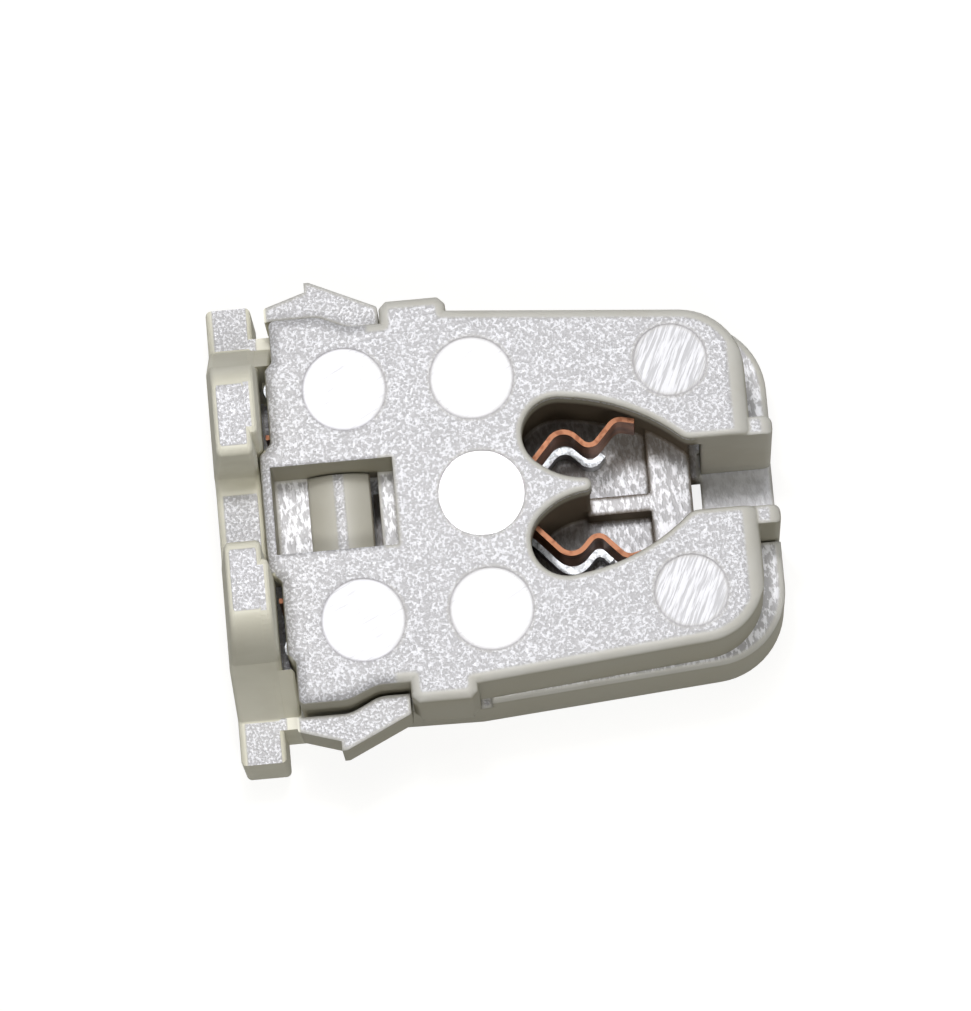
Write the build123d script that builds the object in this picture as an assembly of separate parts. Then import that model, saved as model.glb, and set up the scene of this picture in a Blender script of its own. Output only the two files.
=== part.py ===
from build123d import *
import os

# Push-in lamp holder for a small two-pin tube lamp, lying on its back.
# X runs from the foot to the open end of the lamp slot, Y across the two poles, Z up through the front face.
# The origin is on the lamp holder's centre line, at the middle of its flat back.

# Body
body_depth = 9.0
joint_height = 4.4
front_wall = 1.6
floor_wall = 1.0
side_wall = 1.1
fit_gap = 0.08
front_edge_radius = 0.5
end_edge_radius = 0.85
opening_edge_radius = 0.25

# Front cover outline
cover_tab_x = -9.65
cover_tab_half = 2.6
cover_foot_x = -9.12
cover_corner_x = -8.8
cover_corner_half = 6.42
cover_bevel = 0.35
cover_wide_half = 8.67
cover_narrow_half = 8.11
neck_start_x = -6.6
neck_end_x = -5.3
neck_radius = 1.5
cover_taper_half = 8.43
cover_taper_slope = 0.089
cover_end_x = 12.05
cover_end_radius = 2.9
small_radius = 0.15
point_match = 0.01

# Side clips of the cover, which hook over the housing
clip_start_x = -3.85
clip_end_x = -0.9
clip_half = 9.07
clip_chamfer = 0.32
clip_low_z = 3.6

# Lamp slot and opening
slot_half = 1.6
lip_end_x = 13.05
lip_half = 2.4
lip_top_z = 8.45
lip_edge_radius = 0.6
cheek_start_x = 9.86
throat_x = 9.15
opening_side = (6.6, 3.27)
lobe_top = (3.95, 3.98)
lobe_side = (2.58, 3.67)
lobe_end = (1.98, 2.4)
lobe_foot = (2.62, 1.12)
tongue_side = (3.3, 0.66)
tongue_shoulder = (4.6, 0.3)
tongue_tip_x = 4.85
opening_corner_radius = 0.8

# Round pads on the front face: x, y and radius
pad_depth = 0.05
pad_positions = [(0, 0, 1.9), (-5.65, 5.2, 1.85), (0, 5.2, 1.85), (8.8, 5.2, 1.62)]

# Latch window
window_left_x = -9.2
window_right_x = -3.8
window_half = 1.97
collar_wall = 0.65
collar_low_z = 4.9
ledge_top_z = 5.87
left_ledge_end_x = -6.85
right_ledge_start_x = -4.6

# Latch hook of the housing
hook_left_x = -7.72
hook_right_x = -4.93
hook_top_z = 6.62
hook_edge_z = 6.1
hook_half = 1.89
stem_left_x = -6.5
stem_right_x = -5.1
stem_half = 1.5

# Housing outline
housing_half = 8.57
housing_taper_x = -0.9
housing_taper_half = 8.69
housing_taper_slope = 0.077
housing_end_x = 13.05
housing_end_radius = 3.4
housing_left_x = -8.9
rim_edge_radius = 0.3
cheek_gap = 0.1
notch_length = 0.5
notch_depth = 1.0
notch_inner_half = 8.14

# Lamp chamber
chamber_margin = 0.45
tongue_margin = 0.1
chamber_wall = 0.9
chamber_floor_z = 1.95
platform_z = 3.4
platform_start_x = 7.45
platform_end_x = 9.33
rib_half = 0.4
slit_start_x = 9.38
slit_end_x = 9.8
slit_half = 1.28
channel_floor_z = 0.58
chamber_half = 4.55

# Centre block that holds the contacts
block_left_x = -3.1
block_half = 4.9

# Steel wire clamps
clamp_thickness = 0.3
clamp_cover_gap = 0.09
clamp_half = cover_corner_half - clamp_thickness / 2 - clamp_cover_gap
clamp_wall_gap = 0.04
clamp_right_x = -3.9
clamp_turn_x = -10.2
clamp_tip = (-6.2, 4.08)
clamp_turn_radius = 0.35
clamp_low_z = 2.0
clamp_high_z = 7.1
clamp_slit = 0.25
clamp_slit_x = -8.6

# Terminal walls
inner_wall_half = (2.75, 3.5)
inner_wall_left_x = -9.3
inner_wall_right_x = -4.2
outer_wall_width = 0.5
outer_wall_inner = clamp_half + clamp_thickness / 2 + clamp_wall_gap
outer_wall_half = (outer_wall_inner, outer_wall_inner + outer_wall_width)
outer_wall_left_x = -7.6
outer_wall_right_x = -3.3
inner_wall_top_z = 4.8

# Foot plate
plate_out_x = -11.76
plate_in_x = -9.73
plate_lean = 0.46
lean_start_z = 7.5
lobe_top_z = 12.9
lobe_inner_half = 1.9
shoulder_half = 6.6
shoulder_bulge = 1.7
lobe_outer_half = shoulder_half - shoulder_bulge
shoulder_z = 8.3
ear_half = 10.4
ear_top_length = 1.95
ear_root_half = ear_half - ear_top_length
ear_top_z = 4.1
saddle_z = 7.1
saddle_radius = 0.8
lobe_radius = 0.5
plate_edge_radius = 0.25
ear_reach = 1.45
web_half = ear_half - ear_reach
web_inset = 0.2
gap_cavity_half = cover_corner_half + web_inset

# Snap barbs
barb_low_z = 4.3
barb_top_z = 7.1
barb_free_x = -9.0
barb_root_x = -3.95
barb_gap_wide = 0.3
barb_gap_narrow = 0.22
barb_root_half = 9.23
barb_tip = (-6.9, 10.6)
barb_step_x = -7.12
barb_step_half = 10.18
barb_catch_half = 9.59
barb_root_length = 1.35
gusset_drop = 0.9

# Wire entries
wire_half = 4.65
wire_hole_radius = 0.8
wire_heights = (3.2, 5.9)

# Bronze contacts
strip_thickness = 0.22
strip_low_z = 4.7
strip_high_z = 7.25
tab_low_z = 2.2
tab_left_x = -9.35
tab_right_x = -4.2
strip_half = 3.7
bend_start_x = -3.6
channel_start = (-1.9, 1.3)
channel_end = (2.0, 1.15)
wave_hump = (3.75, 3.1)
wave_valley = (4.95, 1.85)
wave_tail = (6.15, 3.15)
wave_end = (7.0, 2.95)
bend_radius = 0.8
hump_radius = 0.75
valley_radius = 0.45
tail_radius = 0.6
strip_clearance = 0.1

# Steel pressure springs behind the contacts
spring_thickness = 0.34
spring_low_z = 2.05
spring_high_z = 3.05
spring_start_x = -1.3
spring_end_x = 5.5


def slab(face, low, high):
    return extrude(Plane.XY.offset(low) * face, amount=high - low)


def block(x_low, x_high, y_low, y_high, z_low, z_high):
    size = (x_high - x_low, y_high - y_low, z_high - z_low)
    middle = ((x_low + x_high) / 2, (y_low + y_high) / 2, (z_low + z_high) / 2)
    return Pos(*middle) * Box(*size)


def both_sides(shape):
    return shape + mirror(shape, about=Plane.XZ)


def closed_face(corners):
    points = [(x, y) for x, y, radius in corners]
    radii = [radius for x, y, radius in corners]
    return make_face(FilletPolyline(*points, radius=radii, close=True))


def symmetric_face(corners):
    far_side = [(x, -y, radius) for x, y, radius in reversed(corners)]
    return closed_face(corners + far_side)


def line_height(start, end, x):
    # y at x on the line through two points
    return start[1] + (end[1] - start[1]) * (x - start[0]) / (end[0] - start[0])


def cover_corners():
    taper_end_half = cover_taper_half - cover_taper_slope * (cover_end_x - clip_end_x)
    return [
        (cover_tab_x, cover_tab_half, small_radius),
        (cover_foot_x, cover_tab_half + cover_foot_x - cover_tab_x, small_radius),
        (cover_foot_x, cover_corner_half, small_radius),
        (cover_corner_x, cover_corner_half + cover_bevel, small_radius),
        (cover_corner_x, cover_wide_half, 2 * small_radius),
        (neck_start_x, cover_wide_half, neck_radius),
        (neck_end_x, cover_narrow_half, neck_radius),
        (clip_start_x, cover_narrow_half, 0),
        (clip_start_x, clip_half - clip_chamfer, small_radius),
        (clip_start_x + clip_chamfer, clip_half, small_radius),
        (clip_end_x - clip_chamfer, clip_half, small_radius),
        (clip_end_x, clip_half - clip_chamfer, small_radius),
        (clip_end_x, cover_taper_half, 0),
        (cover_end_x, taper_end_half, cover_end_radius),
    ]


def cover_cavity():
    # hollow under the front wall, inside the skirt and open towards the foot
    inner_end_x = cover_end_x - side_wall
    taper_end_half = cover_taper_half - side_wall - cover_taper_slope * (inner_end_x - clip_end_x)
    corners = [
        (cover_corner_x + side_wall, cover_wide_half - side_wall, small_radius),
        (neck_start_x, cover_wide_half - side_wall, neck_radius),
        (neck_end_x, cover_narrow_half - side_wall, neck_radius),
        (clip_end_x, cover_narrow_half - side_wall, 0),
        (inner_end_x, taper_end_half, cover_end_radius - side_wall),
    ]
    hollow = slab(symmetric_face(corners), joint_height, body_depth - front_wall)
    foot_side = block(
        cover_tab_x - side_wall, 0, -cover_corner_half, cover_corner_half,
        joint_height, body_depth - front_wall,
    )
    return hollow + foot_side


def opening_face():
    # the lamp opening: the slot, two lobes and the tongue between them, with soft corners
    mouth_x = lip_end_x + side_wall
    upper = [
        Line((mouth_x, slot_half), (throat_x, slot_half)),
        ThreePointArc((throat_x, slot_half), opening_side, lobe_top),
        ThreePointArc(lobe_top, lobe_end, lobe_foot),
        ThreePointArc(lobe_foot, tongue_side, tongue_shoulder),
    ]
    lower = [mirror(edge, about=Plane.XZ) for edge in upper]
    tip = ThreePointArc(
        tongue_shoulder, (tongue_tip_x, 0), (tongue_shoulder[0], -tongue_shoulder[1])
    )
    mouth = Line((mouth_x, -slot_half), (mouth_x, slot_half))
    face = make_face([edge.edge() for edge in [*upper, tip, *lower, mouth]])
    corner_halves = (slot_half, lobe_top[1])
    corners = [
        vertex for vertex in face.vertices()
        if vertex.X < mouth_x and min(abs(abs(vertex.Y) - half) for half in corner_halves) < point_match
    ]
    return fillet(corners, opening_corner_radius)


def chamber_face(margin):
    # the opening without its tongue, grown by a margin
    mouth_x = lip_end_x + side_wall
    upper = [
        Line((mouth_x, slot_half), (throat_x, slot_half)),
        ThreePointArc((throat_x, slot_half), opening_side, lobe_top),
        ThreePointArc(lobe_top, lobe_side, lobe_end),
    ]
    lower = [mirror(edge, about=Plane.XZ) for edge in upper]
    back = Line(lobe_end, (lobe_end[0], -lobe_end[1]))
    mouth = Line((mouth_x, -slot_half), (mouth_x, slot_half))
    return offset(make_face([edge.edge() for edge in [*upper, back, *lower, mouth]]), margin)


def tongue_face():
    # the pillar under the tongue, a little inside the tongue's edge and rooted in the centre block
    root = (lobe_end[0] - 2 * chamber_margin, lobe_end[1])
    foot = (lobe_foot[0] - tongue_margin, lobe_foot[1] - tongue_margin)
    side = (tongue_side[0] - tongue_margin, tongue_side[1] - tongue_margin)
    shoulder = (tongue_shoulder[0] - tongue_margin, tongue_shoulder[1] - tongue_margin)
    upper = [Line(root, foot), ThreePointArc(foot, side, shoulder)]
    lower = [mirror(edge, about=Plane.XZ) for edge in upper]
    tip = ThreePointArc(shoulder, (tongue_tip_x - tongue_margin, 0), (shoulder[0], -shoulder[1]))
    back = Line(root, (root[0], -root[1]))
    return make_face([edge.edge() for edge in [*upper, tip, *lower, back]])


def window_frame():
    # collar under the latch window, with a ledge at each end
    collar = block(
        cover_tab_x, window_right_x + collar_wall, -window_half - collar_wall,
        window_half + collar_wall, collar_low_z, body_depth - front_wall,
    )
    space = block(
        window_left_x, window_right_x, -window_half, window_half, ledge_top_z, body_depth
    )
    between = block(
        left_ledge_end_x, right_ledge_start_x, -window_half, window_half, collar_low_z, body_depth
    )
    return collar, space + between


def rounded_end(end_x, top_z, radius):
    # a block whose upper edge at the open end of the slot is rounded; cuts other shapes to that curve
    limit = block(cover_tab_x, end_x, -clip_half, clip_half, 0, top_z)
    end_edge = limit.edges().filter_by(Axis.Y).group_by(Axis.Z)[-1].sort_by(Axis.X)[-1]
    return fillet(end_edge, radius)


def slot_cheeks():
    # the two walls of the slot, from the channel floor up to the lips
    cheek = block(
        cheek_start_x, lip_end_x, slot_half, lip_half, channel_floor_z + fit_gap, lip_top_z
    )
    outer_corner = cheek.edges().filter_by(Axis.Z).sort_by(Axis.X)[-2:]
    cheek = fillet(outer_corner, 2 * small_radius) & rounded_end(lip_end_x, lip_top_z, lip_edge_radius)
    return both_sides(cheek)


def clip_hooks():
    return both_sides(block(
        clip_start_x + clip_chamfer, clip_end_x - clip_chamfer, housing_taper_half + fit_gap, clip_half,
        clip_low_z, joint_height,
    ))


def front_pads():
    pads = [
        Pos(x, y * side, body_depth) * Cylinder(radius, 2 * pad_depth)
        for x, y, radius in pad_positions
        for side in (1, -1)
    ]
    return Part() + pads


def front_cover():
    shell = slab(symmetric_face(cover_corners()), joint_height, body_depth)
    top = shell.faces().sort_by(Axis.Z)[-1]
    shell = fillet(top.outer_wire().edges(), front_edge_radius)
    shell = shell & rounded_end(cover_end_x, body_depth, end_edge_radius)
    collar, window_space = window_frame()
    shell -= cover_cavity()
    shell += collar
    shell -= slab(opening_face(), joint_height, body_depth)
    front = shell.faces().sort_by(Axis.Z)[-1]
    rim = front.edges().filter_by_position(Axis.X, 0, cover_end_x - 2 * front_edge_radius)
    rim = rim.filter_by_position(Axis.Y, -lobe_top[1], lobe_top[1])
    shell = fillet(rim, opening_edge_radius)
    shell -= window_space
    shell += slot_cheeks()
    shell += clip_hooks()
    return shell - front_pads()


def housing_corners(inset):
    end_x = housing_end_x - inset
    taper_end_half = housing_taper_half - inset - housing_taper_slope * (end_x - housing_taper_x)
    return [
        (housing_left_x, housing_half - inset, 0),
        (housing_taper_x, housing_taper_half - inset, 0),
        (end_x, taper_end_half, housing_end_radius - inset),
    ]


def housing_tray():
    tray = slab(symmetric_face(housing_corners(0)), 0, joint_height)
    rim = tray.faces().sort_by(Axis.Z)[-1]
    outer_rim = rim.outer_wire().edges().filter_by_position(Axis.X, housing_taper_x, housing_end_x)
    tray = fillet(outer_rim, rim_edge_radius)
    tray -= slab(symmetric_face(housing_corners(side_wall)), floor_wall, joint_height)
    notch = block(
        housing_taper_x, housing_taper_x + notch_length, notch_inner_half, clip_half,
        joint_height - notch_depth, joint_height,
    )
    return tray - both_sides(notch)


def foot_floor():
    # the floor and the two webs that carry the foot plate
    lap_x = (plate_out_x + plate_in_x) / 2
    floor = block(lap_x, housing_left_x + side_wall, -web_half, web_half, 0, floor_wall)
    web = block(lap_x, housing_left_x, gap_cavity_half, web_half, 0, ear_top_z)
    return floor + both_sides(web)


def wire_holes():
    length = plate_in_x - plate_out_x
    holes = [
        Pos((plate_out_x + plate_in_x) / 2, wire_half * side, height)
        * Rot(0, 90, 0)
        * Cylinder(wire_hole_radius, 2 * length)
        for height in wire_heights
        for side in (1, -1)
    ]
    return Part() + holes


def plate_face():
    # the saddle, a lobe with its bulged shoulder, the slope and the ear, on both sides
    lobe = FilletPolyline(
        (0, saddle_z), (lobe_inner_half, saddle_z), (lobe_inner_half, lobe_top_z),
        (lobe_outer_half, lobe_top_z), radius=[saddle_radius, lobe_radius],
    )
    shoulder = EllipticalCenterArc(
        (lobe_outer_half, shoulder_z), shoulder_half - lobe_outer_half, lobe_top_z - shoulder_z,
    )
    ear = FilletPolyline(
        (shoulder_half, shoulder_z), (ear_root_half, ear_top_z), (ear_half, ear_top_z),
        (ear_half, 0), (0, 0), radius=[small_radius, 0, 0],
    )
    half = [*lobe.edges(), *shoulder.edges(), *ear.edges()]
    face = make_face([*half, *[mirror(edge, about=Plane.YZ) for edge in half]])
    creases = [
        vertex for vertex in face.vertices()
        if abs(abs(vertex.X) - shoulder_half) < point_match
    ]
    return fillet(creases, small_radius)


def faces_along_x(face):
    normal = face.normal_at()
    return abs(normal.X) > max(abs(normal.Y), abs(normal.Z))


def foot_plate():
    plate = Pos(plate_out_x, 0, 0) * extrude(Plane.YZ * plate_face(), amount=plate_in_x - plate_out_x)
    lean_corners = [
        (plate_out_x, lean_start_z, 0),
        (plate_out_x + plate_lean, lobe_top_z, 0),
        (plate_out_x - plate_lean, lobe_top_z, 0),
    ]
    plate -= extrude(Plane.XZ * closed_face(lean_corners), amount=2 * ear_half, both=True)
    middle_x = (plate_out_x + plate_in_x) / 2
    faces = plate.faces().filter_by(faces_along_x)
    rims = [face.outer_wire().edges() for face in faces]
    outline = [
        edge for rim in rims for edge in rim
        if edge.center().Z > point_match
        and not (edge.center().X < middle_x and abs(edge.center().Z - lean_start_z) < point_match)
    ]
    return fillet(outline, plate_edge_radius) - wire_holes()


def snap_barbs():
    corners = [
        (barb_free_x, cover_wide_half + barb_gap_wide, 0),
        (neck_start_x, cover_wide_half + barb_gap_wide, neck_radius),
        (neck_end_x, cover_narrow_half + barb_gap_narrow, neck_radius),
        (barb_root_x, cover_narrow_half + barb_gap_narrow, 0),
        (barb_root_x, barb_root_half, small_radius),
        (barb_tip[0], barb_tip[1], small_radius),
        (barb_step_x, barb_tip[1], 0),
        (barb_step_x, barb_step_half, 0),
        (barb_free_x, barb_catch_half, small_radius),
    ]
    arm = slab(closed_face(corners), barb_low_z, barb_top_z)
    root_x = barb_root_x - barb_root_length
    gusset_corners = [
        (housing_half - side_wall, joint_height - gusset_drop, 0),
        (housing_half, joint_height - gusset_drop, 0),
        (barb_root_half, joint_height, 0),
        (housing_half - side_wall, joint_height, 0),
    ]
    gusset = Pos(root_x, 0, 0) * extrude(Plane.YZ * closed_face(gusset_corners), amount=barb_root_length)
    return both_sides(arm + gusset)


def latch_hook():
    stem = block(stem_left_x, stem_right_x, -stem_half, stem_half, 0, ledge_top_z + fit_gap)
    middle_x = (hook_left_x + hook_right_x) / 2
    low_z = ledge_top_z + fit_gap
    head_edges = [
        Line((hook_left_x, low_z), (hook_right_x, low_z)),
        Line((hook_right_x, low_z), (hook_right_x, hook_edge_z)),
        ThreePointArc((hook_right_x, hook_edge_z), (middle_x, hook_top_z), (hook_left_x, hook_edge_z)),
        Line((hook_left_x, hook_edge_z), (hook_left_x, low_z)),
    ]
    head_face = Plane.XZ * make_face([edge.edge() for edge in head_edges])
    head = Pos(0, hook_half, 0) * extrude(head_face, amount=2 * hook_half)
    return stem + head


def contact_path(end_at_spring):
    start = (tab_left_x, strip_half)
    bends = [
        ((bend_start_x, strip_half), bend_radius),
        (channel_start, bend_radius),
        (channel_end, bend_radius),
        (wave_hump, hump_radius),
        (wave_valley, valley_radius),
    ]
    end = wave_end
    if end_at_spring:
        start = (spring_start_x, line_height(channel_start, channel_end, spring_start_x))
        bends = bends[2:]
        end = (spring_end_x, line_height(wave_valley, wave_tail, spring_end_x))
    else:
        bends.append((wave_tail, tail_radius))
    points = [start, *[point for point, radius in bends], end]
    return FilletPolyline(*points, radius=[radius for point, radius in bends])


def ribbon(path, thickness, low, high):
    return slab(trace(path, thickness), low, high)


def centre_block():
    # carries the contacts, walls the lamp chamber and stands under the tongue
    top_z = body_depth - front_wall - fit_gap
    limit = Pos((block_left_x + platform_end_x) / 2, 0) * Rectangle(
        platform_end_x - block_left_x, 2 * cover_narrow_half
    )
    core = Pos((block_left_x + lobe_end[0]) / 2, 0) * Rectangle(
        lobe_end[0] - block_left_x, 2 * block_half
    )
    walls = (chamber_face(chamber_margin + chamber_wall) & limit) + core
    plan = walls - chamber_face(chamber_margin) + tongue_face()
    solid = slab(plan, floor_wall, top_z)
    channel = ribbon(
        contact_path(False), spring_thickness + 2 * strip_clearance, spring_low_z - strip_clearance, top_z
    )
    return solid - both_sides(channel)


def chamber_floor():
    lamp_space = slab(chamber_face(chamber_margin), 0, platform_z)
    base = block(
        lobe_end[0], platform_start_x, -chamber_half, chamber_half, floor_wall, chamber_floor_z
    )
    platform = block(
        platform_start_x, platform_end_x, -chamber_half, chamber_half, floor_wall, platform_z
    )
    rib = block(tongue_shoulder[0], platform_start_x, -rib_half, rib_half, floor_wall, platform_z)
    return (base + platform) & lamp_space, rib


def terminal_walls():
    inner = block(
        inner_wall_left_x, inner_wall_right_x, *inner_wall_half, floor_wall, inner_wall_top_z
    )
    outer = block(
        outer_wall_left_x, outer_wall_right_x, *outer_wall_half, floor_wall,
        body_depth - front_wall - fit_gap,
    )
    return both_sides(inner + outer)


def housing():
    body = housing_tray()
    body += foot_floor()
    foot_space = block(
        plate_in_x, 0, -gap_cavity_half, gap_cavity_half, floor_wall, joint_height
    )
    body -= foot_space
    body += foot_plate()
    body += snap_barbs()
    body += latch_hook()
    body += terminal_walls()
    body += centre_block()
    floor, rib = chamber_floor()
    body += floor
    body += rib
    body -= block(slit_start_x, slit_end_x, -slit_half, slit_half, 0, platform_z)
    body -= block(
        cheek_start_x - cheek_gap, housing_end_x, -lip_half - cheek_gap, lip_half + cheek_gap,
        channel_floor_z, joint_height,
    )
    return body


def contact_strip():
    spring_arm = ribbon(contact_path(False), strip_thickness, strip_low_z, strip_high_z)
    tab = block(
        tab_left_x, tab_right_x, strip_half - strip_thickness / 2, strip_half + strip_thickness / 2,
        tab_low_z, strip_high_z,
    )
    return spring_arm + tab


def pressure_spring():
    return ribbon(contact_path(True), spring_thickness, spring_low_z, spring_high_z)


def wire_clamp():
    points = [(clamp_right_x, clamp_half), (clamp_turn_x, clamp_half), clamp_tip]
    path = FilletPolyline(*points, radius=[clamp_turn_radius])
    leaf = ribbon(path, clamp_thickness, clamp_low_z, clamp_high_z)
    middle_z = sum(wire_heights) / 2
    slit = block(
        clamp_slit_x, clamp_tip[0] + clamp_thickness, clamp_tip[1] - clamp_thickness,
        clamp_half - clamp_thickness, middle_z - clamp_slit / 2, middle_z + clamp_slit / 2,
    )
    return leaf - slit


def main():
    os.makedirs("parts", exist_ok=True)
    pieces = {"housing": housing(), "front_cover": front_cover()}
    paired = {
        "contact_strip": contact_strip(),
        "pressure_spring": pressure_spring(),
        "wire_clamp": wire_clamp(),
    }
    for name, piece in paired.items():
        pieces[name + "_left"] = piece
        pieces[name + "_right"] = mirror(piece, about=Plane.XZ)
    for name, piece in pieces.items():
        piece.label = name
        export_step(piece, os.path.join("parts", name + ".step"))
        print(name, len(piece.solids()), round(piece.volume, 3))


main()
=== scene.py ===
# A push-in lamp holder for a small two-pin tube lamp, dressed and lit.
# One Blender unit is a metre; sizes named below are in millimetres, and scene places in metres.
import bpy
import bmesh
import math
from mathutils import Matrix, Vector


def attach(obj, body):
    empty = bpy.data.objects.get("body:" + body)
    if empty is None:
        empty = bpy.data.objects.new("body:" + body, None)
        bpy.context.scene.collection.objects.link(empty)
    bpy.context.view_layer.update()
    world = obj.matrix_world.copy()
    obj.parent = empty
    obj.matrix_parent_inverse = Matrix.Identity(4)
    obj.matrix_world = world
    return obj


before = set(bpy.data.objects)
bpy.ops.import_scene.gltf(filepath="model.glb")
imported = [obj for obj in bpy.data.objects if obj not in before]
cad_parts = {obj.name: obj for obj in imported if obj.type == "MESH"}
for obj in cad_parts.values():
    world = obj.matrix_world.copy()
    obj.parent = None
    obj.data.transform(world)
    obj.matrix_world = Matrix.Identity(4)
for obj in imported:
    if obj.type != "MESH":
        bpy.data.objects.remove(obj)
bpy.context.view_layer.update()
mm = 0.001
white = (1, 1, 1, 1)


class Wire:
    # one socket of a recipe; the operators add Math nodes
    def __init__(self, recipe, socket):
        self.recipe = recipe
        self.socket = socket

    def maths(self, operation, *others):
        made = self.recipe.node("Math", {"operation": operation}, dict(enumerate([self, *others])))
        return Wire(self.recipe, made.outputs[0])

    def __add__(self, other):
        return self.maths("ADD", other)

    def __sub__(self, other):
        return self.maths("SUBTRACT", other)

    def __mul__(self, other):
        return self.maths("MULTIPLY", other)

    def __radd__(self, other):
        return self + other

    def __rmul__(self, other):
        return self * other

    def __rsub__(self, other):
        return self * -1 + other

    def __abs__(self):
        return self.maths("ABSOLUTE")

    def larger(self, other):
        return self.maths("MAXIMUM", other)

    def rise(self, low, high):
        # 0 below low, 1 above high, smooth between; the other way round where low is above high
        sockets = {"Value": self, "From Min": low, "From Max": high}
        if low > high:
            sockets = {"Value": self, "From Min": high, "From Max": low, "To Min": 1, "To Max": 0}
        made = self.recipe.node("MapRange", {"interpolation_type": "SMOOTHSTEP"}, sockets)
        return Wire(self.recipe, made.outputs[0])

    def between(self, low, high, soft):
        return self.rise(low - soft, low) * self.rise(high + soft, high)


class Recipe:
    # the nodes of one material, or of the world
    def __init__(self, owner):
        owner.use_nodes = True
        self.owner = owner
        self.tree = owner.node_tree
        self.tree.nodes.clear()

    def node(self, kind, settings=None, sockets=None):
        made = self.tree.nodes.new("ShaderNode" + kind)
        for key, value in (settings or {}).items():
            setattr(made, key, value)
        for key, value in (sockets or {}).items():
            if isinstance(value, Wire):
                value = value.socket
            if isinstance(value, bpy.types.NodeSocket):
                self.tree.links.new(value, made.inputs[key])
            else:
                made.inputs[key].default_value = value
        return made

    def wire(self, made, output=0):
        return Wire(self, made.outputs[output])

    def parts(self, vector):
        split = self.node("SeparateXYZ", None, {0: vector})
        return [self.wire(split, axis) for axis in range(3)]

    def place(self):
        # object coordinates in millimetres
        coordinate = self.node("TexCoord").outputs["Object"]
        return self.node("VectorMath", {"operation": "SCALE"}, {0: coordinate, "Scale": 1 / mm}).outputs[0]

    def facing(self):
        return self.parts(self.node("TexCoord").outputs["Normal"])

    def noise(self, vector, scale, detail, roughness):
        sockets = {"Vector": vector, "Scale": scale, "Detail": detail, "Roughness": roughness}
        return self.wire(self.node("TexNoise", None, sockets))

    def stretched(self, vector, turn, scale):
        # turned by an angle in degrees first, then scaled along the turned axes
        sockets = {
            "Vector": vector, "Rotation": (0, 0, math.radians(turn)), "Scale": [1 / value for value in scale],
        }
        return self.node("Mapping", {"vector_type": "TEXTURE"}, sockets).outputs[0]

    def blend(self, factor, first, second):
        return self.node("Mix", {"data_type": "RGBA"}, {0: factor, 6: first, 7: second}).outputs[2]

    def blendDirections(self, factor, first, second):
        return self.node("Mix", {"data_type": "VECTOR"}, {0: factor, 4: first, 5: second}).outputs[1]

    def seen(self):
        # 1 for what the camera sees, also in metal and through glass
        rays = self.node("LightPath")
        mask = self.wire(rays, "Is Camera Ray")
        for kind in ("Is Glossy Ray", "Is Transmission Ray"):
            mask = mask.larger(self.wire(rays, kind))
        return mask

    def finish(self, shader, output="OutputMaterial"):
        self.node(output, None, {"Surface": shader.outputs[0]})
        return self.owner


def dress(nodeName, material):
    # gives a CAD node its finish; the mesh stays as it is
    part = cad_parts[nodeName]
    part.data.materials.clear()
    part.data.materials.append(material)


def addObject(name, data):
    thing = bpy.data.objects.new(name, data)
    bpy.context.collection.objects.link(thing)
    return thing


def addMesh(name, shape, material):
    mesh = bpy.data.meshes.new(name)
    shape.to_mesh(mesh)
    shape.free()
    mesh.materials.append(material)
    return addObject(name, mesh)


# Where the plastic's finish changes, and where painted light and shade lie. Two numbers are one border, from
# outside to inside;
# three are two borders and their softness. Facing is 1 for a face that looks straight along an axis.
zones = {
    "wall": {"facingZ": (0.6, 0.15)},
    "upward": {"facingZ": (0.25, 0.5)},
    "plateBody": {"x": (-9.66, -9.72)},
    "plateLobe": {"x": (-9.3, -9.4), "half": (2.65, 2.75), "z": (6.9, 7.1)},
    "plateWeb": {"x": (-8.85, -8.95), "half": (6.45, 6.6)},
    "plateTop": {"x": (-11.4, -9.65, 0.12), "facingZ": (0.97, 0.995)},
    "hook": {"x": (-7.7, -4.95, 0.02), "half": (1.93, 1.88), "z": (4.0, 4.2)},
    "hookCrown": {"facingZ": (0.991, 0.999)},
    "ledge": {"x": (-9.0, -4.0, 0.05), "half": (2.2, 2.1), "z": (8.3, 8.2)},
    "hookGap": {"x": (-4.98, -4.6, 0.04), "half": (2.0, 1.94), "z": (6.4, 6.0)},
    "sharpEdge": {"x": (-4.3, -4.6), "z": (8.4, 9.1, 0.2), "facingZ": (0.3, 0.5)},
    "deep": {"x": (1.0, 1.4), "z": (7.2, 6.8)},
    "chamber": {"x": (1.4, 9.5, 0.3), "half": (5.6, 5.3), "z": (8.1, 7.4)},
    "chamberFloor": {"z": (6.8, 6.4)},
    "underContacts": {"x": (5.1, 4.4)},
    "underEdge": {"y": (1.5, 2.3)},
    "slot": {"x": (9.5, 9.8), "half": (1.9, 1.8)},
    "lip": {"x": (0.8, 9.4, 0.3), "half": (5.6, 5.3), "z": (8.45, 8.74, 0.02), "facingY": (0.1, -0.2)},
    "padLevel": {"z": (8.93, 8.97, 0.01)},
    "ringLevel": {"z": (8.9, 8.94)},
    "rightPads": {"x": (4, 5)},
}
pads = {
    "middle": (0, 0, 1.9),                      # x, y and radius
    "sides": [(-5.65, 5.2, 1.85), (0, 5.2, 1.85), (8.8, 5.2, 1.62)],
    "border": 0.02,
    "ring": (-0.04, 0.03, 0.04),                # from the radius inwards, outwards, and softness
}
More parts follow.
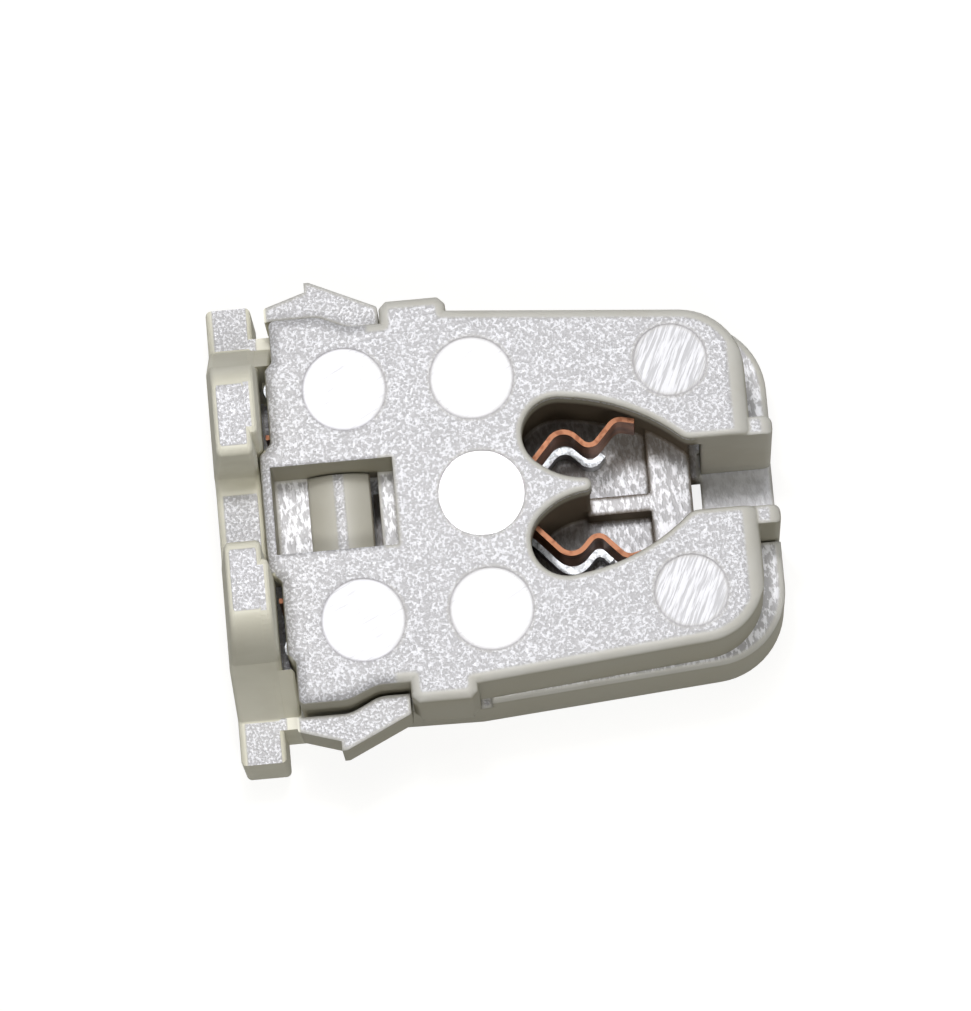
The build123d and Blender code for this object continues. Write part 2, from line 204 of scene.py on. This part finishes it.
plastic = {
    "facedColour": (0.46, 0.455, 0.46, 1),      # spark-finished faces, greyed between the flecks so that the flecks' painted glints stand out
    # pale flecks: grain of the spark finish, with its sparkle painted in as painted glints, also on the lamp
    # opening's lip
    "fleckGlintColour": (0.86, 0.865, 0.89, 1),
    "paintedLightColour": (0.93, 0.935, 0.96, 1),      # painted light: brighter flecks on the faces deep inside and on the latch window's ledges, the slot floor lightened, and painted reflection on the pads' streaks
    "smoothColour": (0.68, 0.67, 0.61, 1),      # rounded edges
    # painted shade: upright walls darker, as they get little light from above; also the latch hook's sides
    "wallShadeColour": (0.42, 0.4, 0.31, 1),
    "slotWallLightColour": (0.66, 0.64, 0.55, 1),       # painted light: the slot's walls, lighter than other walls
    "plateLightColour": (0.84, 0.82, 0.68, 1),       # painted light: the foot plate, its walls and slopes lighter
    "hollowColour": (0.42, 0.37, 0.24, 1),      # large faint patches
    "chamberShadeColour": (0.13, 0.095, 0.055, 1),   # painted shade: walls inside the lamp opening, the gap beside the latch hook and part of the opening's floor
    "padColour": (0.5, 0.5, 0.51, 1),
    "mirrorColour": (0.9, 0.9, 0.92, 1),        # the pad at the centre
    "ringColour": (0.42, 0.4, 0.43, 1),
    "facedRough": 0.27,
    "smoothRough": 0.33,
    "mirrorRough": 0.06,
    "padRough": 0.3,
    "wallRough": 0.62,
    "chamberRough": 0.9,
    "fleckRough": 0.08,                         # flecks are this much smoother
    "patchRough": 0.05,
    "fine": (8.5, 2, 0.55),                     # flecks: scale, detail and roughness of the noise
    "drawnTurn": 5.73,                          # degrees
    "drawnScale": (5.2, 2.2, 1),
    "drawn": (1.0, 3, 0.65),
    "patch": (0.42, 3, 0.55),
    "streakTurns": (27, 65),                    # degrees, on the left pads and on the right ones
    "streakScale": (0.6, 7.0, 1),
    "streak": (1.0, 3, 0.6),
    "fleckEdge": (0.46, 0.6),
    "patchEdge": (0.35, 0.7),
    "streakEdge": (0.42, 0.56),
    "faintEdge": (0.33, 0.42),
    "lipEdge": (0.4, 0.5),
    "levelEdge": (0.975, 0.997),
    "streakShare": 0.85,
    "faintShare": 0.45,
    "slotShare": 0.3,
    "streakHeight": 0.35,
    "grainHeight": 0.03,
    "bump": 0.9,
    "edge": 0.3,                                # radius of the soft edges
    "edgeSamples": 6,
    "ior": 1.5,
}


def within(coordinates, borders):
    masks = [
        coordinates[name].rise(*limits) if len(limits) == 2 else coordinates[name].between(*limits)
        for name, limits in borders.items()
    ]
    mask = masks[0]
    for other in masks[1:]:
        mask = mask * other
    return mask


def padMasks(recipe, x, half, settings, place):
    # inside a round pad, and on the line round it
    padX, padY, radius = place
    inwards, outwards, soft = settings["ring"]
    spot = recipe.node("CombineXYZ", None, {0: x, 1: half, 2: 0.0}).outputs[0]
    away = recipe.node("VectorMath", {"operation": "DISTANCE"}, {0: spot, 1: (padX, padY, 0)})
    away = recipe.wire(away, 1)
    inside = away.rise(radius + settings["border"], radius - settings["border"])
    return inside, away.between(radius + inwards, radius + outwards, soft)


def mouldedPlastic(name, settings):
    recipe = Recipe(bpy.data.materials.new(name))
    vector = recipe.place()
    x, y, z = recipe.parts(vector)
    _, facingY, facingZ = recipe.facing()
    coordinates = {"x": x, "y": y, "half": abs(y), "z": z, "facingY": facingY, "facingZ": facingZ}
    zone = {key: within(coordinates, borders) for key, borders in zones.items()}
    wall = zone["wall"]
    chamber = zone["chamber"]
    plate = zone["plateBody"].larger(zone["plateLobe"]).larger(zone["plateWeb"])
    inner = zone["deep"].larger(zone["ledge"] * (1 - zone["hook"]))
    # painted shadow on the lamp opening's floor, towards the foot and under the opening's edges
    chamberFloorShadow = chamber * (1 - wall) * zone["chamberFloor"] * zone["underContacts"].larger(zone["underEdge"])

    # level faces, where the spark finish is; edges by their roundness, or by their place on the foot plate
    rounded = recipe.node("Bevel", {"samples": settings["edgeSamples"]}, {"Radius": settings["edge"] * mm})
    rounded = rounded.outputs[0]
    roundedZ = recipe.parts(rounded)[2]
    level = roundedZ.rise(*settings["levelEdge"]).larger(zone["sharpEdge"]) * zone["upward"]
    level = level * (1 - plate) + plate * zone["plateTop"]
    level = level * (1 - zone["hook"]) + zone["hook"] * zone["hookCrown"]

    # round pads: smooth, with fine streaks left by the polishing of the mould; the streaks' whiteness is
    # painted reflection
    middlePad, ring = padMasks(recipe, x, coordinates["half"], pads, pads["middle"])
    sidePad = 0
    for place in pads["sides"]:
        inside, line = padMasks(recipe, x, coordinates["half"], pads, place)
        sidePad = inside + sidePad
        ring = ring.larger(line)
    middlePad = middlePad * zone["padLevel"] * level
    sidePad = sidePad * zone["padLevel"] * level
    ring = ring * zone["ringLevel"]
    faced = level - middlePad - sidePad

    # flecks of the spark finish, coarse and drawn out on the faces deep inside; their pale colour is painted
    # glints
    fine = recipe.noise(vector, *settings["fine"])
    drawnPlace = recipe.stretched(vector, settings["drawnTurn"], settings["drawnScale"])
    drawn = recipe.noise(drawnPlace, *settings["drawn"])
    fleckHeight = fine * (1 - inner) + drawn * inner
    fleck = fleckHeight.rise(*settings["fleckEdge"])
    patch = recipe.noise(vector, *settings["patch"])
    right = zone["rightPads"]
    streak = 0
    for turn, share in zip(settings["streakTurns"], (1 - right, right)):
        streakPlace = recipe.stretched(vector, turn, settings["streakScale"])
        streak = recipe.noise(streakPlace, *settings["streak"]) * share + streak
    strong = streak.rise(*settings["streakEdge"]) * settings["streakShare"]
    faint = streak.rise(*settings["faintEdge"]) * settings["faintShare"] + (1 - settings["faintShare"])
    bright = strong * right + faint * (1 - right)
    # painted light for the slot's floor, a little flecked
    slotFloorLight = fleck * settings["slotShare"] + (1 - settings["slotShare"])

    # the foot plate's edges are rounded in the mesh, and the others here
    trueFacing = recipe.node("NewGeometry").outputs["Normal"]
    bump = recipe.node("Bump", None, {
        "Strength": settings["bump"], "Distance": settings["grainHeight"] * mm,
        "Height": fleckHeight * faced + streak * sidePad * settings["streakHeight"],
        "Normal": recipe.blendDirections(plate, rounded, trueFacing),
    })
    smooth = settings["smoothRough"]
    rough = wall * (settings["wallRough"] - smooth) + smooth
    rough = rough + wall * chamber * (settings["chamberRough"] - settings["wallRough"])
    rough = rough + faced * (settings["facedRough"] - smooth - settings["fleckRough"] * fleck)
    rough = rough + sidePad * (settings["padRough"] - smooth)
    rough = rough + middlePad * (settings["mirrorRough"] - smooth) + patch * settings["patchRough"]
    layers = [
        # painted shade on upright walls
        (wall, 1, "wallShadeColour"),
        # painted shade on the latch hook's sides
        (zone["hook"] * (1 - faced), 0.4, "wallShadeColour"),
        # painted light on the slot's walls
        (wall * zone["slot"], 1, "slotWallLightColour"),
        # painted light on the foot plate
        (plate, 1, "plateLightColour"),
        (patch.rise(*settings["patchEdge"]), 0.15, "hollowColour"),
        # painted shade on the walls inside the lamp opening
        (chamber, 0.95, "chamberShadeColour"),
        (faced, 1, "facedColour"),
        (sidePad, 1, "padColour"),
        # painted glints on the flecks of the faces
        (faced * fleck, 0.85, "fleckGlintColour"),
        # painted light on the flecks deep inside and on the latch window's ledges
        (faced * inner * fleck, 1, "paintedLightColour"),
        # painted light on the slot's floor
        (faced * inner * zone["slot"] * slotFloorLight, 1, "paintedLightColour"),
        # painted reflection on the pads' polishing streaks
        (sidePad * bright, 1, "paintedLightColour"),
        (middlePad, 1, "mirrorColour"),
        (ring, 0.45, "ringColour"),
        # painted shade in the gap beside the latch hook
        (zone["hookGap"], 0.8, "chamberShadeColour"),
        # painted shadow on the lamp opening's floor
        (chamberFloorShadow, 0.65, "chamberShadeColour"),
        # painted glints on the lip of the lamp opening
        (wall * zone["lip"] * fine.rise(*settings["lipEdge"]), 0.8, "fleckGlintColour"),
    ]
    colour = settings["smoothColour"]
    for mask, share, shade in layers:
        colour = recipe.blend(mask * share, colour, settings[shade])
    return recipe.finish(recipe.node("BsdfPrincipled", None, {
        "Base Color": colour, "Roughness": rough, "Normal": bump.outputs[0], "IOR": settings["ior"],
    }))


ivory = mouldedPlastic("ivoryPlastic", plastic)
for nodeName in ("housing", "front_cover"):
    dress(nodeName, ivory)
print("plastic done")

bronze = {
    "colour": (0.36, 0.16, 0.085, 1),
    "darkColour": (0.14, 0.055, 0.03, 1),
    "edgeColour": (0.25, 0.115, 0.065, 1),      # sheared edges
    "rough": 0.34,
    "edgeRough": 0.45,
    "bead": (2.6, 2, 0.6),
    "beadHeight": 1.8,
}
steel = {
    "colour": (0.5, 0.51, 0.52, 1),
    "darkColour": (0.2, 0.2, 0.2, 1),
    "edgeColour": (0.5, 0.52, 0.53, 1),
    "rough": 0.34,
    "edgeRough": 0.36,
    "bead": (4.4, 2, 0.6),
    "beadHeight": 7.2,
}
strip = {
    "rolledScale": (1, 1, 14),                  # fine lines along the strip
    "rolled": (1.2, 3, 0.6),
    "stain": (0.8, 3, 0.6),
    "stainEdge": (0.35, 0.75),
    "shearedEdge": (0.5, 0.8),
    "beadEdge": (0.5, 0.62),
    "beadShare": 0.7,
    "rolledRough": 0.15,
    "bump": 0.4,
    "depth": 0.015,
}


def rolledStrip(name, metal, settings):
    recipe = Recipe(bpy.data.materials.new(name))
    vector = recipe.place()
    rolled = recipe.noise(recipe.stretched(vector, 0, settings["rolledScale"]), *settings["rolled"])
    beads = recipe.noise(vector, *metal["bead"])
    stain = recipe.noise(vector, *settings["stain"]).rise(*settings["stainEdge"])
    sheared = recipe.facing()[2].rise(*settings["shearedEdge"])
    beadMark = sheared * beads.rise(*settings["beadEdge"]) * settings["beadShare"]
    colour = recipe.blend(stain, metal["colour"], metal["darkColour"])
    colour = recipe.blend(sheared, colour, metal["edgeColour"])
    colour = recipe.blend(beadMark, colour, metal["darkColour"])
    bump = recipe.node("Bump", None, {
        "Strength": settings["bump"], "Distance": settings["depth"] * mm,
        "Height": rolled * (1 - sheared) + beads * sheared * metal["beadHeight"],
    })
    rough = rolled * settings["rolledRough"] + metal["rough"] + sheared * (metal["edgeRough"] - metal["rough"])
    return recipe.finish(recipe.node("BsdfPrincipled", None, {
        "Base Color": colour, "Roughness": rough, "Metallic": 1.0, "Normal": bump.outputs[0],
    }))


bronzeFinish = rolledStrip("springBronze", bronze, strip)
steelFinish = rolledStrip("springSteel", steel, strip)
for side in ("left", "right"):
    dress("contact_strip_" + side, bronzeFinish)
    dress("pressure_spring_" + side, steelFinish)
    dress("wire_clamp_" + side, steelFinish)
print("metal done")

gussets = {
    "inner": -10.2, "plate": -9.45, "web": -8.92,        # along X
    "profile": [(2.76, 7.16), (2.76, 12.55), (2.84, 12.78), (3.08, 12.895), (4.9, 12.895)],
    "bulge": {"middle": (4.9, 8.3), "reach": (1.695, 4.595), "steps": 14},
    "slope": [(8.42, 4.13), (6.42, 4.13), (6.42, 7.16)],
    "webProfile": [(6.87, 4.08), (8.42, 4.08), (6.87, 7.66)],
    "soft": 0.22,
    "softSteps": 3,
}


def prism(shape, profile, side, reach, soft, softSteps):
    # a prism along X, with its edges at the high end rounded
    low, high = reach
    face = shape.faces.new([shape.verts.new((low * mm, y * side * mm, z * mm)) for y, z in profile])
    made = bmesh.ops.extrude_face_region(shape, geom=[face])
    ends = [item for item in made["geom"] if isinstance(item, bmesh.types.BMVert)]
    bmesh.ops.translate(shape, verts=ends, vec=((high - low) * mm, 0, 0))
    rim = [edge for edge in shape.edges if all(vert in ends for vert in edge.verts)]
    bmesh.ops.bevel(
        shape, geom=rim, offset=soft * mm, segments=softSteps, affect="EDGES", profile=0.5, material=-1,
    )


def footGussets(settings, material):
    # thickens the foot plate above the wire entries and fills the corner beside the front cover
    bulge = settings["bulge"]
    (midY, midZ), (reachY, reachZ) = bulge["middle"], bulge["reach"]
    turns = [math.pi / 2 * step / bulge["steps"] for step in range(1, bulge["steps"] + 1)]
    curve = [(midY + reachY * math.sin(turn), midZ + reachZ * math.cos(turn)) for turn in turns]
    profile = settings["profile"] + curve + settings["slope"]
    inner, soft, softSteps = settings["inner"], settings["soft"], settings["softSteps"]
    shape = bmesh.new()
    for side in (-1, 1):
        prism(shape, profile, side, (inner, settings["plate"]), soft, softSteps)
        prism(shape, settings["webProfile"], side, (inner, settings["web"]), soft / 2, softSteps)
    bmesh.ops.recalc_face_normals(shape, faces=shape.faces)
    piece = addMesh("foot_gussets", shape, material)
    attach(piece, "root")


footGussets(gussets, ivory)
print("gussets done")

ground = {"size": 1.2, "drop": 0.02, "colour": (0.24, 0.235, 0.21, 1), "whiten": 0.86}   # size in metres


def paleFloor(settings):
    recipe = Recipe(bpy.data.materials.new("floorPaint"))
    paint = recipe.node("BsdfDiffuse", None, {"Color": settings["colour"]})
    glow = recipe.node("Emission", None, {"Color": white, "Strength": recipe.seen() * settings["whiten"]})
    both = recipe.node("AddShader", None, {0: paint.outputs[0], 1: glow.outputs[0]})
    shape = bmesh.new()
    bmesh.ops.create_grid(shape, x_segments=1, y_segments=1, size=settings["size"] / 2)
    floor = addMesh("floor", shape, recipe.finish(both))
    floor.location.z = -settings["drop"] * mm


paleFloor(ground)
print("floor done")

lampAim = (0, 0, 0.006)
lamps = {
    "key": {"at": (-0.003, 0.07, 0.36), "size": 0.1, "power": 0.27, "colour": (0.97, 0.97, 1.0)},
    "flash": {"at": (0.01, -0.13, 0.31), "size": 0.05, "power": 0.24, "colour": (1.0, 0.985, 0.97)},
    "glint": {"at": (-0.0027, 0.021, 0.12), "size": 0.01, "power": 0.032, "colour": (0.98, 0.97, 1.0)},
    "sky": {"at": (0.0, 0.04, 0.5), "size": 0.4, "power": 0.22, "colour": (0.97, 0.975, 1.0)},
}


def softLamp(name, settings):
    light = bpy.data.lights.new(name, "AREA")
    light.size = settings["size"]
    light.energy = settings["power"]
    light.color = settings["colour"]
    lamp = addObject(name, light)
    lamp.location = settings["at"]
    lamp.rotation_euler = (Vector(settings["at"]) - Vector(lampAim)).to_track_quat("Z", "Y").to_euler()


for name, settings in lamps.items():
    softLamp(name, settings)

room = {"light": 0.16, "seen": 1.0}


def paleRoom(settings):
    world = bpy.data.worlds.new("room")
    bpy.context.scene.world = world
    recipe = Recipe(world)
    strength = recipe.seen() * (settings["seen"] - settings["light"]) + settings["light"]
    recipe.finish(recipe.node("Background", None, {"Color": white, "Strength": strength}), "OutputWorld")


paleRoom(room)
print("light done")

viewpoint = {
    "aim": (0.00009, 0.0, 0.006),
    "distance": 0.3,
    "tilt": 11.3,                               # degrees
    "yaw": 0.65,
    "roll": -5.06,
    "sensor": 36,
    "pictureWidth": 971,                        # pixels
    "pixelsPerMm": 22.494,                      # at the aim
    "nearest": 0.01,
}


def placeCamera(settings):
    tilt = math.radians(settings["tilt"])
    back = Vector((math.sin(math.radians(settings["yaw"])), -math.sin(tilt), math.cos(tilt))).normalized()
    right = Vector((0, 1, 0)).cross(back).normalized()
    up = back.cross(right)
    turned = Matrix((right, up, back)).transposed() @ Matrix.Rotation(math.radians(settings["roll"]), 3, "Z")
    pictureInMm = settings["pictureWidth"] / settings["pixelsPerMm"]
    data = bpy.data.cameras.new("camera")
    data.sensor_fit = "HORIZONTAL"
    data.sensor_width = settings["sensor"]
    data.lens = settings["distance"] / mm * settings["sensor"] / pictureInMm
    data.clip_start = settings["nearest"]
    camera = addObject("camera", data)
    spot = Vector(settings["aim"]) + back * settings["distance"]
    camera.matrix_world = Matrix.Translation(spot) @ turned.to_4x4()
    bpy.context.scene.camera = camera


placeCamera(viewpoint)
bpy.context.scene.view_settings.view_transform = "Standard"
print("camera done")
